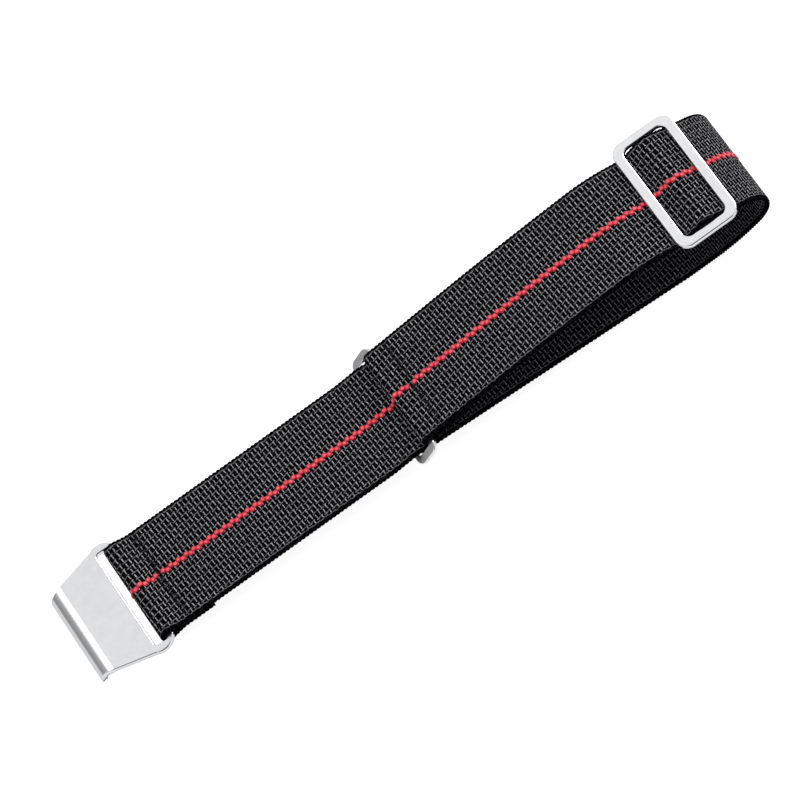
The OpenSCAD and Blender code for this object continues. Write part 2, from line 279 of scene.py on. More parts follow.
    def _tail_pins(self, hump: Pin) -> dict[str, Pin]:
        """Pins of the arch down to the keeper ring, and of the sewn tail that comes back under it."""
        sewn = Pin(self.sewn_x, self.ring_z, self.sewn_r)
        arch_a = math.pi + math.radians(self.arch_lean)
        arch_start = hump.touch(arch_a) + self.short_run * ahead(arch_a)
        straight = self.ring_seam_back + self.tail_l + self.past_tail
        arch = turn_pin(arch_start, arch_a, sewn, straight)
        self.tail_a = heading_between(arch, sewn) - math.pi
        if self.tail_a < -math.pi:
            self.tail_a += 2 * math.pi
        along = ahead(self.tail_a)
        foot = sewn.centre + left_of(self.tail_a) * (self.sewn_r - self.fold_step)
        lift_at = foot + along * (self.ring_seam_back - self.seam_clear)
        end = foot + along * (self.ring_seam_back + self.tail_l)
        return {
            "arch": arch,
            "sewn": sewn,
            "lift": turn_pin(lift_at, self.tail_a, sewn, self.lift_run),
            "tail": Pin(end[0], end[1], 0.0),
        }

    def _turn(self, i: int) -> float:
        """How far the band turns round a pin, in radians."""
        a = heading_between(self.pins[i - 1], self.pins[i])
        b = heading_between(self.pins[i], self.pins[i + 1])
        m = (b - a) % (2 * math.pi)
        if self.pins[i].radius > 0:
            return m - 2 * math.pi if m > 2 * math.pi - self.brush_a else m
        return m if m < self.brush_a else m - 2 * math.pi

    def _measure(self) -> None:
        """Lists straights and bends as rows of [start, x, z, heading, bend per mm, length]."""
        rows: list[list[float]] = []
        s = 0.0
        last = len(self.pins) - 1
        for i in range(last):
            a = heading_between(self.pins[i], self.pins[i + 1])
            if i > 0:
                turn = self._turn(i)
                a_in = a - turn
                p = self.pins[i].touch(a_in)
                length = abs(self.pins[i].radius * turn)
                bend = turn / length if length else 0.0
                rows.append([s, p[0], p[1], a_in, bend, length])
                s += length
            p = self.pins[i].touch(a)
            q = self.pins[i + 1].touch(a)
            length = float(np.linalg.norm(q - p))
            self.runs.append((s, p, a))
            rows.append([s, p[0], p[1], a, 0.0, length])
            s += length
        self.parts = np.array(rows)
        self.length = s

    def on_run(self, pin: str, x: float) -> float:
        """Length along the band at x on the straight run that leaves a pin."""
        s, p, a = self.runs[self.number[pin]]
        return s + (x - p[0]) / math.cos(a)

    def run_end_x(self, pin: str) -> float:
        """Where the straight run that leaves a pin ends, along the strap."""
        i = self.number[pin]
        return float(self.pins[i + 1].touch(self.runs[i][2])[0])

    def _mark_cuts(self) -> None:
        """Marks where one stretch of the band ends and the next begins, and the seams."""
        tail_x = self.sewn_x + self.ring_seam_back + self.tail_l + self.cut_off
        marks = {
            "clasp": ("front", self.clasp_seam_x + self.tail_l + self.cut_off),
            "ring": ("front", self.rise_x - self.cut_off),
            "lower": ("over", tail_x),
            "floor": ("over", self.run_end_x("over") - self.cut_off),
            "nose": ("nose", self.run_end_x("nose") + self.cut_off),
            "upper": ("leaving", self.run_end_x("leaving") + self.cut_off),
            "tail": ("arch", tail_x),
        }
        self.cut_x = {name: x for name, (_, x) in marks.items()}
        self.cuts = {name: self.on_run(pin, x) for name, (pin, x) in marks.items()}
        self._mark_arch()
        sewn = self.pins[self.number["sewn"]]
        up, along = left_of(self.tail_a), ahead(self.tail_a)
        over = sewn.centre + up * sewn.radius + along * self.ring_seam_back
        below = over - up * self.fold_step
        x = self.clasp_seam_x
        self.seams = {
            "clasp": (self.on_run("front", x), self.on_run("folded_end", x)),
            "ring": (self.on_run("arch", over[0]), self.on_run("lift", below[0])),
        }

    def _mark_arch(self) -> None:
        """Marks where the upper run comes down to the height that it had at the nose."""
        self.level = float(self.at(np.array([self.cuts["nose"]]))[1][0])
        s = np.linspace(self.cuts["upper"], self.cuts["tail"], self.samples)
        x, z, _ = self.at(s)
        falling = slice(int(z.argmax()), None)
        self.cuts["arch"] = float(np.interp(-self.level, -z[falling], s[falling]))
        self.cut_x["arch"] = float(np.interp(self.cuts["arch"], s, x))

    def at(self, s: np.ndarray) -> tuple[np.ndarray, np.ndarray, np.ndarray]:
        """Place and heading of the band's middle.

        Args:
            s: Lengths along the band.

        Returns:
            The x, the z and the heading in radians at each.
        """
        i = np.clip(np.searchsorted(self.parts[:, 0], s, side="right") - 1, 0, len(self.parts) - 1)
        s0, x0, z0, a0, bend, _ = self.parts[i].T
        ds = s - s0
        a = a0 + bend * ds
        straight = np.abs(bend) < 1e-9
        safe = np.where(straight, 1.0, bend)
        x = x0 + np.where(straight, ds * np.cos(a0), (np.sin(a) - np.sin(a0)) / safe)
        z = z0 + np.where(straight, ds * np.sin(a0), (np.cos(a0) - np.cos(a)) / safe)
        return x, z, a

    def place(self, s: np.ndarray, t: np.ndarray, h: np.ndarray) -> np.ndarray:
        """Points of the band in metres.

        Args:
            s: Lengths along the band.
            t: Distances across it from its middle.
            h: Heights off its middle, to the left of its heading.

        Returns:
            An array of points, one to each set of values.
        """
        x, z, a = self.at(s)
        return np.stack([x - h * np.sin(a), t + 0 * x, z + h * np.cos(a)], axis=-1) * MM

    def bends(self, start: float, end: float, step: float, step_a: float) -> np.ndarray:
        """Lengths between start and end, close together where the band bends.

        Args:
            start: First length.
            end: Last length.
            step: Longest step.
            step_a: Largest turn in one step, in radians.

        Returns:
            The lengths in order.
        """
        found = [start]
        for s0, _, _, _, bend, length in self.parts:
            low, high = max(start, s0), min(end, s0 + length)
            if high - low < 1e-6:
                continue
            count = max(math.ceil((high - low) / step), math.ceil(abs(bend) * (high - low) / step_a), 1)
            found += list(np.linspace(low, high, count + 1)[1:])
        return np.array(found)


# Finishes


class NodeBench:
    """Wires the nodes of one material, or of the world, by plain calls."""

    def __init__(self, name: str, world: bpy.types.World | None = None) -> None:
        """Starts an empty material or world with a shader and its output."""
        self.material = world or bpy.data.materials.new(name)
        self.material.use_nodes = True
        self.tree = self.material.node_tree
        self.tree.nodes.clear()
        self.shader = self.add("ShaderNodeBackground" if world else "ShaderNodeBsdfPrincipled")
        out = self.add("ShaderNodeOutputWorld" if world else "ShaderNodeOutputMaterial")
        self.tree.links.new(self.shader.outputs[0], out.inputs["Surface"])

    def add(self, kind: str, **settings: object) -> bpy.types.Node:
        """Adds a node and sets its properties."""
        node = self.tree.nodes.new(kind)
        for key, value in settings.items():
            setattr(node, key, value)
        return node

    def feed(self, target: Socket, value: Value | Sequence[float]) -> None:
        """Links a socket to a target, or sets the target's own value."""
        if isinstance(value, bpy.types.NodeSocket):
            self.tree.links.new(value, target)
        else:
            target.default_value = value

    def set(self, name: str, value: Value | Sequence[float]) -> None:
        """Feeds one of the shader's sockets."""
        self.feed(self.shader.inputs[name], value)

    def math(self, operation: str, *values: Value) -> Socket:
        """Result of a Math node."""
        node = self.add("ShaderNodeMath", operation=operation)
        for target, value in zip(node.inputs, values):
            self.feed(target, value)
        return node.outputs[0]

    def times(self, a: Value, b: Value) -> Socket:
        """Product of two values."""
        return self.math("MULTIPLY", a, b)

    def minus(self, a: Value, b: Value) -> Socket:
        """Difference of two values."""
        return self.math("SUBTRACT", a, b)

    def unsigned(self, value: Value) -> Socket:
        """A value without its sign."""
        return self.math("ABSOLUTE", value)

    def scaled(self, vector: Socket, size: Sequence[float]) -> Socket:
        """A vector times another, part by part."""
        node = self.add("ShaderNodeVectorMath", operation="MULTIPLY")
        self.feed(node.inputs[0], vector)
        node.inputs[1].default_value = size
        return node.outputs[0]

    def fade(
        self, value: Value, low: float, high: float, at_low: float = 1.0, at_high: float = 0.0
    ) -> Socket:
        """Smooth change from one value to another as an input goes from low to high."""
        node = self.add("ShaderNodeMapRange", interpolation_type="SMOOTHSTEP")
        for key, item in enumerate((value, low, high, at_low, at_high)):
            self.feed(node.inputs[key], item)
        return node.outputs[0]

    def mix(self, factor: Value, a: Value | Sequence[float], b: Value | Sequence[float]) -> Socket:
        """Colour between a and b."""
        node = self.add("ShaderNodeMix", data_type="RGBA")
        self.feed(node.inputs["Factor"], factor)
        colours = [i for i in node.inputs if i.type == "RGBA"]
        self.feed(colours[0], a)
        self.feed(colours[1], b)
        return [o for o in node.outputs if o.type == "RGBA"][0]

    def noise(self, vector: Socket, scale: float, detail: float = 2.0, rough: float = 0.5) -> Socket:
        """Noise from 0 to 1 at a vector."""
        node = self.add("ShaderNodeTexNoise")
        self.feed(node.inputs["Vector"], vector)
        node.inputs["Scale"].default_value = scale
        node.inputs["Detail"].default_value = detail
        node.inputs["Roughness"].default_value = rough
        return node.outputs[0]

    def stored(self, name: str) -> tuple[Socket, Socket, Socket, Socket]:
        """A stored vector of the mesh, whole and as its three parts."""
        vector = self.add("ShaderNodeAttribute", attribute_name=name).outputs["Vector"]
        parts = self.add("ShaderNodeSeparateXYZ")
        self.feed(parts.inputs[0], vector)
        return vector, *parts.outputs

    def in_mm(self) -> Socket:
        """Place on the object in millimetres."""
        place = self.add("ShaderNodeTexCoord").outputs["Object"]
        return self.scaled(place, (1 / MM,) * 3)

    def bump(self, height: Value, depth_mm: float, strength: float = 1.0) -> None:
        """Bumps the shader's surface by a height from 0 to 1."""
        node = self.add("ShaderNodeBump")
        node.inputs["Strength"].default_value = strength
        node.inputs["Distance"].default_value = depth_mm * MM
        self.feed(node.inputs["Height"], height)
        self.feed(self.shader.inputs["Normal"], node.outputs["Normal"])


@dataclass(frozen=True)
class Weave:
    """Sizes of the weave that the mesh and the finish share.

    Bright dashes of thread lie across the band in columns, one column to a pick. A link runs along
    the band over each pair of columns: it crosses the first between two dashes and ends on the
    head of a longer dash in the second.
    """

    pick: float = 0.82
    rib: float = 1.30
    middle: float = 0.14
    skew: float = 0.08
    short_dash: float = 0.31
    long_dash: float = 0.42
    long_column: float = 1.04
    long_drop: float = 0.13
    link_middle: float = 0.48
    link_reach: float = 0.76
    link_lift: float = 0.04
    link_rise: float = 0.167
    line: float = 0.11
    depth: float = 0.09
    crown: float = 0.05
    wander: float = 0.028
    edge_line: float = 9.42
    edge_wave: float = 0.05
    selvedge: float = 0.40
    lobe: float = 0.16

    def uneven(self, s: np.ndarray, t: np.ndarray) -> tuple[np.ndarray, np.ndarray]:
        """Places in an even weave that the threads at these places come from."""
        ds = np.sin(2.9 * s + 1.9 * t) + np.sin(5.3 * s - 3.1 * t + 1.0)
        dt = np.sin(3.7 * s - 2.3 * t + 2.0) + np.sin(1.7 * s + 4.1 * t)
        return s + self.wander * ds, t + self.wander * dt

    def relief(self, s: np.ndarray, t: np.ndarray, side: int) -> np.ndarray:
        """Depth of one woven face under its highest threads.

        Args:
            s: Lengths along the band.
            t: Distances across it.
            side: One for the face on the left of the band's heading, minus one for the other.

        Returns:
            The depths, none below zero.
        """
        u = (side * s + self.skew * t) / self.pick
        v = (t - self.middle) / self.rib
        x = np.mod(u + 0.5, 2.0) - 0.5

        def reach(off: np.ndarray, half: float = 0.0) -> np.ndarray:
            """Distance to the nearest whole rib, past half a length."""
            return np.maximum(np.abs(off - np.round(off)) * self.rib - half, 0.0)

        short = np.hypot(x * self.pick, reach(v - 0.5, self.short_dash))
        long = np.hypot((x - self.long_column) * self.pick, reach(v + self.long_drop, self.long_dash))
        past = np.maximum(np.abs(x - self.link_middle) - self.link_reach, 0.0)
        link = np.hypot(reach(v - self.link_lift - self.link_rise * x), past * self.pick)
        line = np.exp(-((np.minimum(np.minimum(short, long), link) / self.line) ** 2))
        crown = np.abs(np.sin(np.pi * u)) * (0.6 + 0.4 * np.abs(np.sin(np.pi * v)))
        return np.clip(self.depth - self.crown * crown - self.depth * line, 0.0, None)


@dataclass(frozen=True)
class BlackNylon:
    """Matte black yarn between thin grey threads; their grey is part own colour, part painted highlight.

    Each fade is a low and a high input, and what it gives at the two.
    """

    weave: Weave
    black: Colour = (0.0002, 0.0002, 0.0004, 1)
    faded: Colour = (0.0085, 0.0082, 0.0110, 1)
    # grey of the threads: partly their own colour, partly painted highlight
    grey: Colour = (0.300, 0.294, 0.318, 1)
    roughness: float = 0.8
    gloss: float = 0.004
    sheen: float = 0.01
    sheen_tint: Colour = (0.75, 0.77, 0.85, 1)
    thread_core: float = 0.03
    thread_blur: float = 0.02
    link_low: float = 0.6
    link_fade: Fade = (0.10, 0.36, 0.25, 0.64)
    fleck_fade: Fade = (0.30, 0.64, 0.35, 1.1)
    seam_fade: Fade = (0.1, 0.8, 1.0, 0.65)
    hair_fade: Fade = (0.45, 0.70, 0.0, 1.0)
    edge_bare: float = 0.20
    edge_fade: Fade = (0.02, 0.10, 1.0, 0.0)
    edge_fleck_fade: Fade = (0.3, 0.65, 0.1, 0.5)

    def make(self) -> bpy.types.Material:
        """Builds the woven finish from the thread places stored on the mesh."""
        b = NodeBench("black_nylon")
        w = self.weave
        place, s, t, mark = b.stored("thread_place")
        seam = b.minus(b.unsigned(mark), 1.0)
        run = b.math("MULTIPLY_ADD", t, w.skew, b.times(s, b.math("SIGN", mark)))
        u = b.times(run, 1 / w.pick)
        v = b.math("MULTIPLY_ADD", t, 1 / w.rib, -w.middle / w.rib)
        x = b.math("MULTIPLY_ADD", b.math("FRACT", b.math("MULTIPLY_ADD", u, 0.5, 0.25)), 2.0, -0.5)
        short = self._dash(b, x, 0.0, v, 0.5, w.short_dash)
        long = self._dash(b, x, w.long_column, v, -w.long_drop, w.long_dash)
        fleck = b.noise(b.scaled(place, (1.3, 0.8, 0.0)), 2.2, 3.0)
        rim = w.line + self.thread_blur
        over = b.fade(b.math("MINIMUM", short, long), self.thread_core, rim)
        thin = b.fade(b.unsigned(b.minus(x, self.link_low)), *self.link_fade)
        side = b.times(b.fade(self._link(b, x, v), self.thread_core, rim), thin)
        thread = b.times(b.math("MAXIMUM", over, side), b.fade(fleck, *self.fleck_fade))
        thread = b.times(thread, b.fade(b.unsigned(t), w.edge_line - self.edge_bare, w.edge_line))
        thread = b.math("MAXIMUM", thread, self._edge_line(b, u, t, fleck))
        thread = b.times(thread, b.fade(seam, *self.seam_fade))
        hair = b.noise(b.scaled(place, (2.6, 2.6, 0.0)), 1.0, 2.0)
        block = b.mix(b.fade(hair, *self.hair_fade), self.black, self.faded)
        # the grey threads are painted partly as highlight
        b.set("Base Color", b.mix(thread, block, self.grey))
        b.set("Roughness", b.math("MULTIPLY_ADD", thread, -0.14, self.roughness))
        b.set("Specular IOR Level", self.gloss)
        b.set("Sheen Weight", self.sheen)
        b.set("Sheen Roughness", 0.4)
        b.set("Sheen Tint", self.sheen_tint)
        fibre = b.noise(b.scaled(place, (16.0, 1.6, 0.0)), 1.0)
        b.bump(b.math("MULTIPLY_ADD", thread, 0.7, fibre), 0.05, 0.7)
        return b.material

    def _dash(self, b: NodeBench, x: Socket, column: float, v: Socket, row: float, half: float) -> Socket:
        """Distance in millimetres to the nearest dash of one column."""
        along = b.times(b.minus(x, column), self.weave.pick)
        past = b.math("MAXIMUM", b.minus(self._to_rib(b, b.minus(v, row)), half), 0.0)
        return self._length(b, along, past)

    def _link(self, b: NodeBench, x: Socket, v: Socket) -> Socket:
        """Distance in millimetres to the nearest link along the band."""
        w = self.weave
        line = b.math("MULTIPLY_ADD", x, w.link_rise, w.link_lift)
        off = b.minus(b.unsigned(b.minus(x, w.link_middle)), w.link_reach)
        past = b.times(b.math("MAXIMUM", off, 0.0), w.pick)
        return self._length(b, self._to_rib(b, b.minus(v, line)), past)

    def _edge_line(self, b: NodeBench, u: Socket, t: Socket, fleck: Socket) -> Socket:
        """The wavy thread that runs just inside each selvedge."""
        wave = b.times(b.math("SINE", b.times(u, math.pi)), self.weave.edge_wave)
        off = b.minus(b.minus(b.unsigned(t), self.weave.edge_line), wave)
        return b.times(b.fade(b.unsigned(off), *self.edge_fade), b.fade(fleck, *self.edge_fleck_fade))

    def _to_rib(self, b: NodeBench, v: Socket) -> Socket:
        """Distance in millimetres to the nearest whole rib."""
        return b.times(b.unsigned(b.minus(v, b.math("ROUND", v))), self.weave.rib)

    @staticmethod
    def _length(b: NodeBench, p: Socket, q: Socket) -> Socket:
        """Length of a line from its two parts."""
        return b.math("SQRT", b.math("MULTIPLY_ADD", p, p, b.times(q, q)))


@dataclass(frozen=True)
class YarnFinish:
    """Twisted or filament yarn of one dyed colour."""

    name: str
    deep: Colour
    light: Colour
    roughness: float = 0.55
    gloss: float = 0.3
    sheen: float = 0.2

    def make(self) -> bpy.types.Material:
        """Builds the yarn with fine filaments along it and colour that drifts from bead to bead."""
        b = NodeBench(self.name)
        place, along, across, _ = b.stored("thread_place")
        hair = b.noise(b.scaled(place, (1.4, 14.0, 1.0)), 1.0)
        drift = b.noise(place, 0.9)
        tone = b.fade(b.math("MULTIPLY_ADD", hair, 0.5, b.times(drift, 0.6)), 0.3, 0.75, 0.0, 1.0)
        b.set("Base Color", b.mix(self._pale_share(b, tone, along, across), self.deep, self.light))
        b.set("Roughness", b.math("MULTIPLY_ADD", hair, 0.2, self.roughness - 0.1))
        b.set("Specular IOR Level", self.gloss)
        b.set("Sheen Weight", self.sheen)
        b.bump(hair, 0.04, 0.6)
        return b.material

    def _pale_share(self, b: NodeBench, tone: Socket, along: Socket, across: Socket) -> Socket:
        """Share of the light colour at a place on the yarn."""
        return tone


@dataclass(frozen=True)
class BeadFinish(YarnFinish):
    """Yarn beads with a painted highlight on their tops and painted shade where they dive into the band.
    """

    half_l: float = 0.5
    half_w: float = 0.5

    def _pale_share(self, b: NodeBench, tone: Socket, along: Socket, across: Socket) -> Socket:
        """Share of the light colour: a painted highlight on a bead's top that fades to painted shade at
        its rim.
        """
        p = b.times(along, 1 / self.half_l)
        q = b.times(across, 1 / self.half_w)
        out = b.math("MULTIPLY_ADD", p, p, b.times(q, q))
        # painted highlight on each bead's top, painted shade towards its rim
        return b.times(b.math("MULTIPLY_ADD", tone, 0.85, 0.15), b.fade(out, 0.0, 0.48))


@dataclass(frozen=True)
class RubberFinish:
    """Off-white latex thread with a dusted surface."""

    deep: Colour = (0.50, 0.44, 0.32, 1)
    light: Colour = (0.72, 0.66, 0.52, 1)

    def make(self) -> bpy.types.Material:
        """Builds the latex finish."""
        b = NodeBench("rubber_thread")
        place = b.in_mm()
        dust = b.noise(place, 3.0, 3.0)
        b.set("Base Color", b.mix(dust, self.deep, self.light))
        b.set("Roughness", b.math("MULTIPLY_ADD", dust, 0.25, 0.55))
        b.bump(dust, 0.01, 0.5)
        return b.material


@dataclass(frozen=True)
class SatinSteel:
    """Bead-blasted stainless sheet with a faint mottle and a fine grain."""

    name: str = "satin_steel"
    tone: float = 0.80
    roughness: float = 0.30
    grain: float = 0.012

    def make(self) -> bpy.types.Material:
        """Builds the satin finish."""
        b = NodeBench(self.name)
        place = b.in_mm()
        mottle = b.noise(place, 0.55, 3.0, 0.6)
        fine = b.noise(place, 9.0, 2.0)
        worn, clean = ((k, k * 0.995, k, 1) for k in (self.tone - 0.03, self.tone + 0.01))
        b.set("Base Color", b.mix(b.fade(mottle, 0.35, 0.7, 0.0, 1.0), worn, clean))
        b.set("Metallic", 1.0)
        b.set("Roughness", b.math("MULTIPLY_ADD", mottle, 0.14, self.roughness - 0.07))
        b.bump(b.math("MULTIPLY_ADD", mottle, 1.2, fine), self.grain, 0.6)
        return b.material


@dataclass(frozen=True)
class PolishedSteel:
    """Tumbled edge of the sheet, bright with fine hairlines."""

    name: str = "polished_steel"
    colour: Colour = (0.90, 0.90, 0.91, 1)
    roughness: float = 0.13

    def make(self) -> bpy.types.Material:
        """Builds the polished finish."""
        b = NodeBench(self.name)
        place = b.in_mm()
        hairline = b.noise(b.scaled(place, (1.0, 1.0, 9.0)), 1.6, 3.0)
        b.set("Base Color", b.mix(hairline, (0.84, 0.84, 0.86, 1), self.colour))
        b.set("Metallic", 1.0)
        b.set("Roughness", b.math("MULTIPLY_ADD", hairline, 0.12, self.roughness - 0.04))
        b.bump(hairline, 0.004, 0.4)
        return b.material


# Mesh helpers


def add_mesh(
    name: str,
    points: np.ndarray,
    faces: Sequence[Sequence[int]] | np.ndarray,
    materials: Sequence[bpy.types.Material],
    stored: np.ndarray | None = None,
) -> bpy.types.Object:
    """Adds a smooth mesh to the scene.

    Args:
        name: Name of the piece.
        points: Its points in metres.
        faces: Its faces, by point.
        materials: Its materials in slot order.
        stored: Thread places in millimetres, one vector to a point.

    Returns:
        The new object.
    """
    mesh = bpy.data.meshes.new(name)
    mesh.from_pydata(points.tolist(), [], faces.tolist() if isinstance(faces, np.ndarray) else faces)
    mesh.shade_smooth()
    if stored is not None:
        layer = mesh.attributes.new("thread_place", "FLOAT_VECTOR", "POINT")
        layer.data.foreach_set("vector", stored.astype(np.float32).ravel())
    for material in materials:
        mesh.materials.append(material)
    piece = bpy.data.objects.new(name, mesh)
    bpy.context.scene.collection.objects.link(piece)
    return piece


def grid_faces(rows: int, columns: int, closed: bool = True) -> np.ndarray:
    """Quads of a grid of points whose rows run round a closed or an open line.

    Args:
        rows: Number of rows.
        columns: Points in each row.
        closed: Whether a row's last point joins its first.

    Returns:
        One row of four point numbers to a quad.
    """
    i = np.arange(rows - 1)[:, None]
    j = np.arange(columns if closed else columns - 1)[None, :]
    k = (j + 1) % columns
    a, b = i * columns + j, i * columns + k
    return np.stack([a, b, b + columns, a + columns], axis=-1).reshape(-1, 4)


@dataclass
class TubeBatch:
    """Many thin tubes gathered into one mesh."""

    sides: int = 8
    points: list[np.ndarray] = field(default_factory=list)
    stored: list[np.ndarray] = field(default_factory=list)
    faces: list[list[int]] = field(default_factory=list)
    count: int = 0

    def add(self, centres: np.ndarray, radii: np.ndarray, normals: np.ndarray, run: np.ndarray) -> None:
        """Adds one tube with round ends.

        Args:
            centres: Points along its middle, in millimetres.
            radii: Its radius at each.
            normals: A direction across the tube at each.
            run: Length along the thread at each, for its finish.
        """
        along = np.gradient(centres, axis=0)
        along /= np.linalg.norm(along, axis=1)[:, None]
        n = normals - (normals * along).sum(1)[:, None] * along
        n /= np.linalg.norm(n, axis=1)[:, None]
        side = np.cross(along, n)
        angle = np.arange(self.sides) * 2 * np.pi / self.sides
        ring = n[:, None] * np.cos(angle)[:, None] + side[:, None] * np.sin(angle)[:, None]
        body = centres[:, None] + ring * radii[:, None, None]
        rows = len(centres)
        place = np.zeros((rows, self.sides, 3))
        place[..., 0] = run[:, None]
        place[..., 1] = angle[None, :] * radii.max()
        self.points.append(np.concatenate([body.reshape(-1, 3), centres[:1], centres[-1:]]))
        self.stored.append(np.concatenate([place.reshape(-1, 3), place[0, :1], place[-1, :1]]))
        j = np.arange(self.sides)
        k = (j + 1) % self.sides
        last_row = (rows - 1) * self.sides
        tip = np.full(self.sides, rows * self.sides)
        first_cap = np.stack([k, j, tip], -1)
        last_cap = np.stack([j + last_row, k + last_row, tip + 1], -1)
        for faces in (grid_faces(rows, self.sides), first_cap, last_cap):
            self.faces += (faces + self.count).tolist()
        self.count += rows * self.sides + 2

    def make(self, name: str, material: bpy.types.Material) -> bpy.types.Object:
        """Makes the piece from all the tubes."""
        points = np.concatenate(self.points) * MM
        return add_mesh(name, points, self.faces, [material], np.concatenate(self.stored))


# The band and its stretches


class Kind(Enum):
    """What a stretch of the band is made of."""

    WEBBING = "webbing"
    RED_YARN = "red_yarn"
    RUBBER = "rubber"


@dataclass(frozen=True)
class Stretch:
    """One stretch of the band: where it lies, what carries it and the solids it stands for.

    A stretch that eases is humped by the adjuster frame.
    """

    name: str
    start: str
    end: str
    body: str
    far_body: str
    nodes: tuple[str, str, str]
    eases: bool = False
    kept: float = 0.45

    def carry(self, piece: bpy.types.Object, route: BandRoute) -> None:
        """Makes a piece ride on its body, with a mesh of its own if it eases, or bakes its place into its
        mesh across two bodies.
        """
        if self.body == self.far_body:
            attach(piece, self.body)
            if self.eases:
                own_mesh(piece)
            return
        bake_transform(piece)

    def span(self, route: BandRoute) -> tuple[float, float]:
        """First and last length of the stretch along the band."""
        return route.cuts.get(self.start, 0.0), route.cuts.get(self.end, route.length)


STRETCHES = (
    Stretch("clasp_end", "fold", "clasp", "clasp_end", "clasp_end",
            ("band_clasp_end", "stripe_clasp_end", "core_clasp_end")),
    Stretch("front_run", "clasp", "ring", "clasp_end", "ring_section",
            ("band_front_run", "stripe_front", "core_front")),
    Stretch("ring_pass", "ring", "lower", "ring_section", "ring_section",
            ("band_ring_pass", "stripe_front", "core_front")),
    Stretch("lower_run", "lower", "floor", "ring_section", "loop_end",
            ("band_lower_run", "stripe_front", "core_front")),
    Stretch("loop_end", "floor", "nose", "loop_end", "loop_end",
            ("band_loop_end", "stripe_loop_end", "core_loop_end")),
    Stretch("frame_pass", "nose", "upper", "loop_end", "loop_end",
            ("band_frame_pass", "stripe_frame_pass", "core_frame_pass"), eases=True),
    Stretch("upper_run", "upper", "arch", "loop_end", "loop_end",
            ("band_upper_run", "stripe_upper", "core_upper"), eases=True),
    Stretch("arch_run", "arch", "tail", "loop_end", "ring_section",
            ("band_upper_run", "stripe_upper", "core_upper")),
    Stretch("tail_end", "tail", "end", "ring_section", "ring_section",
            ("band_tail_end", "stripe_upper", "core_upper")),
)


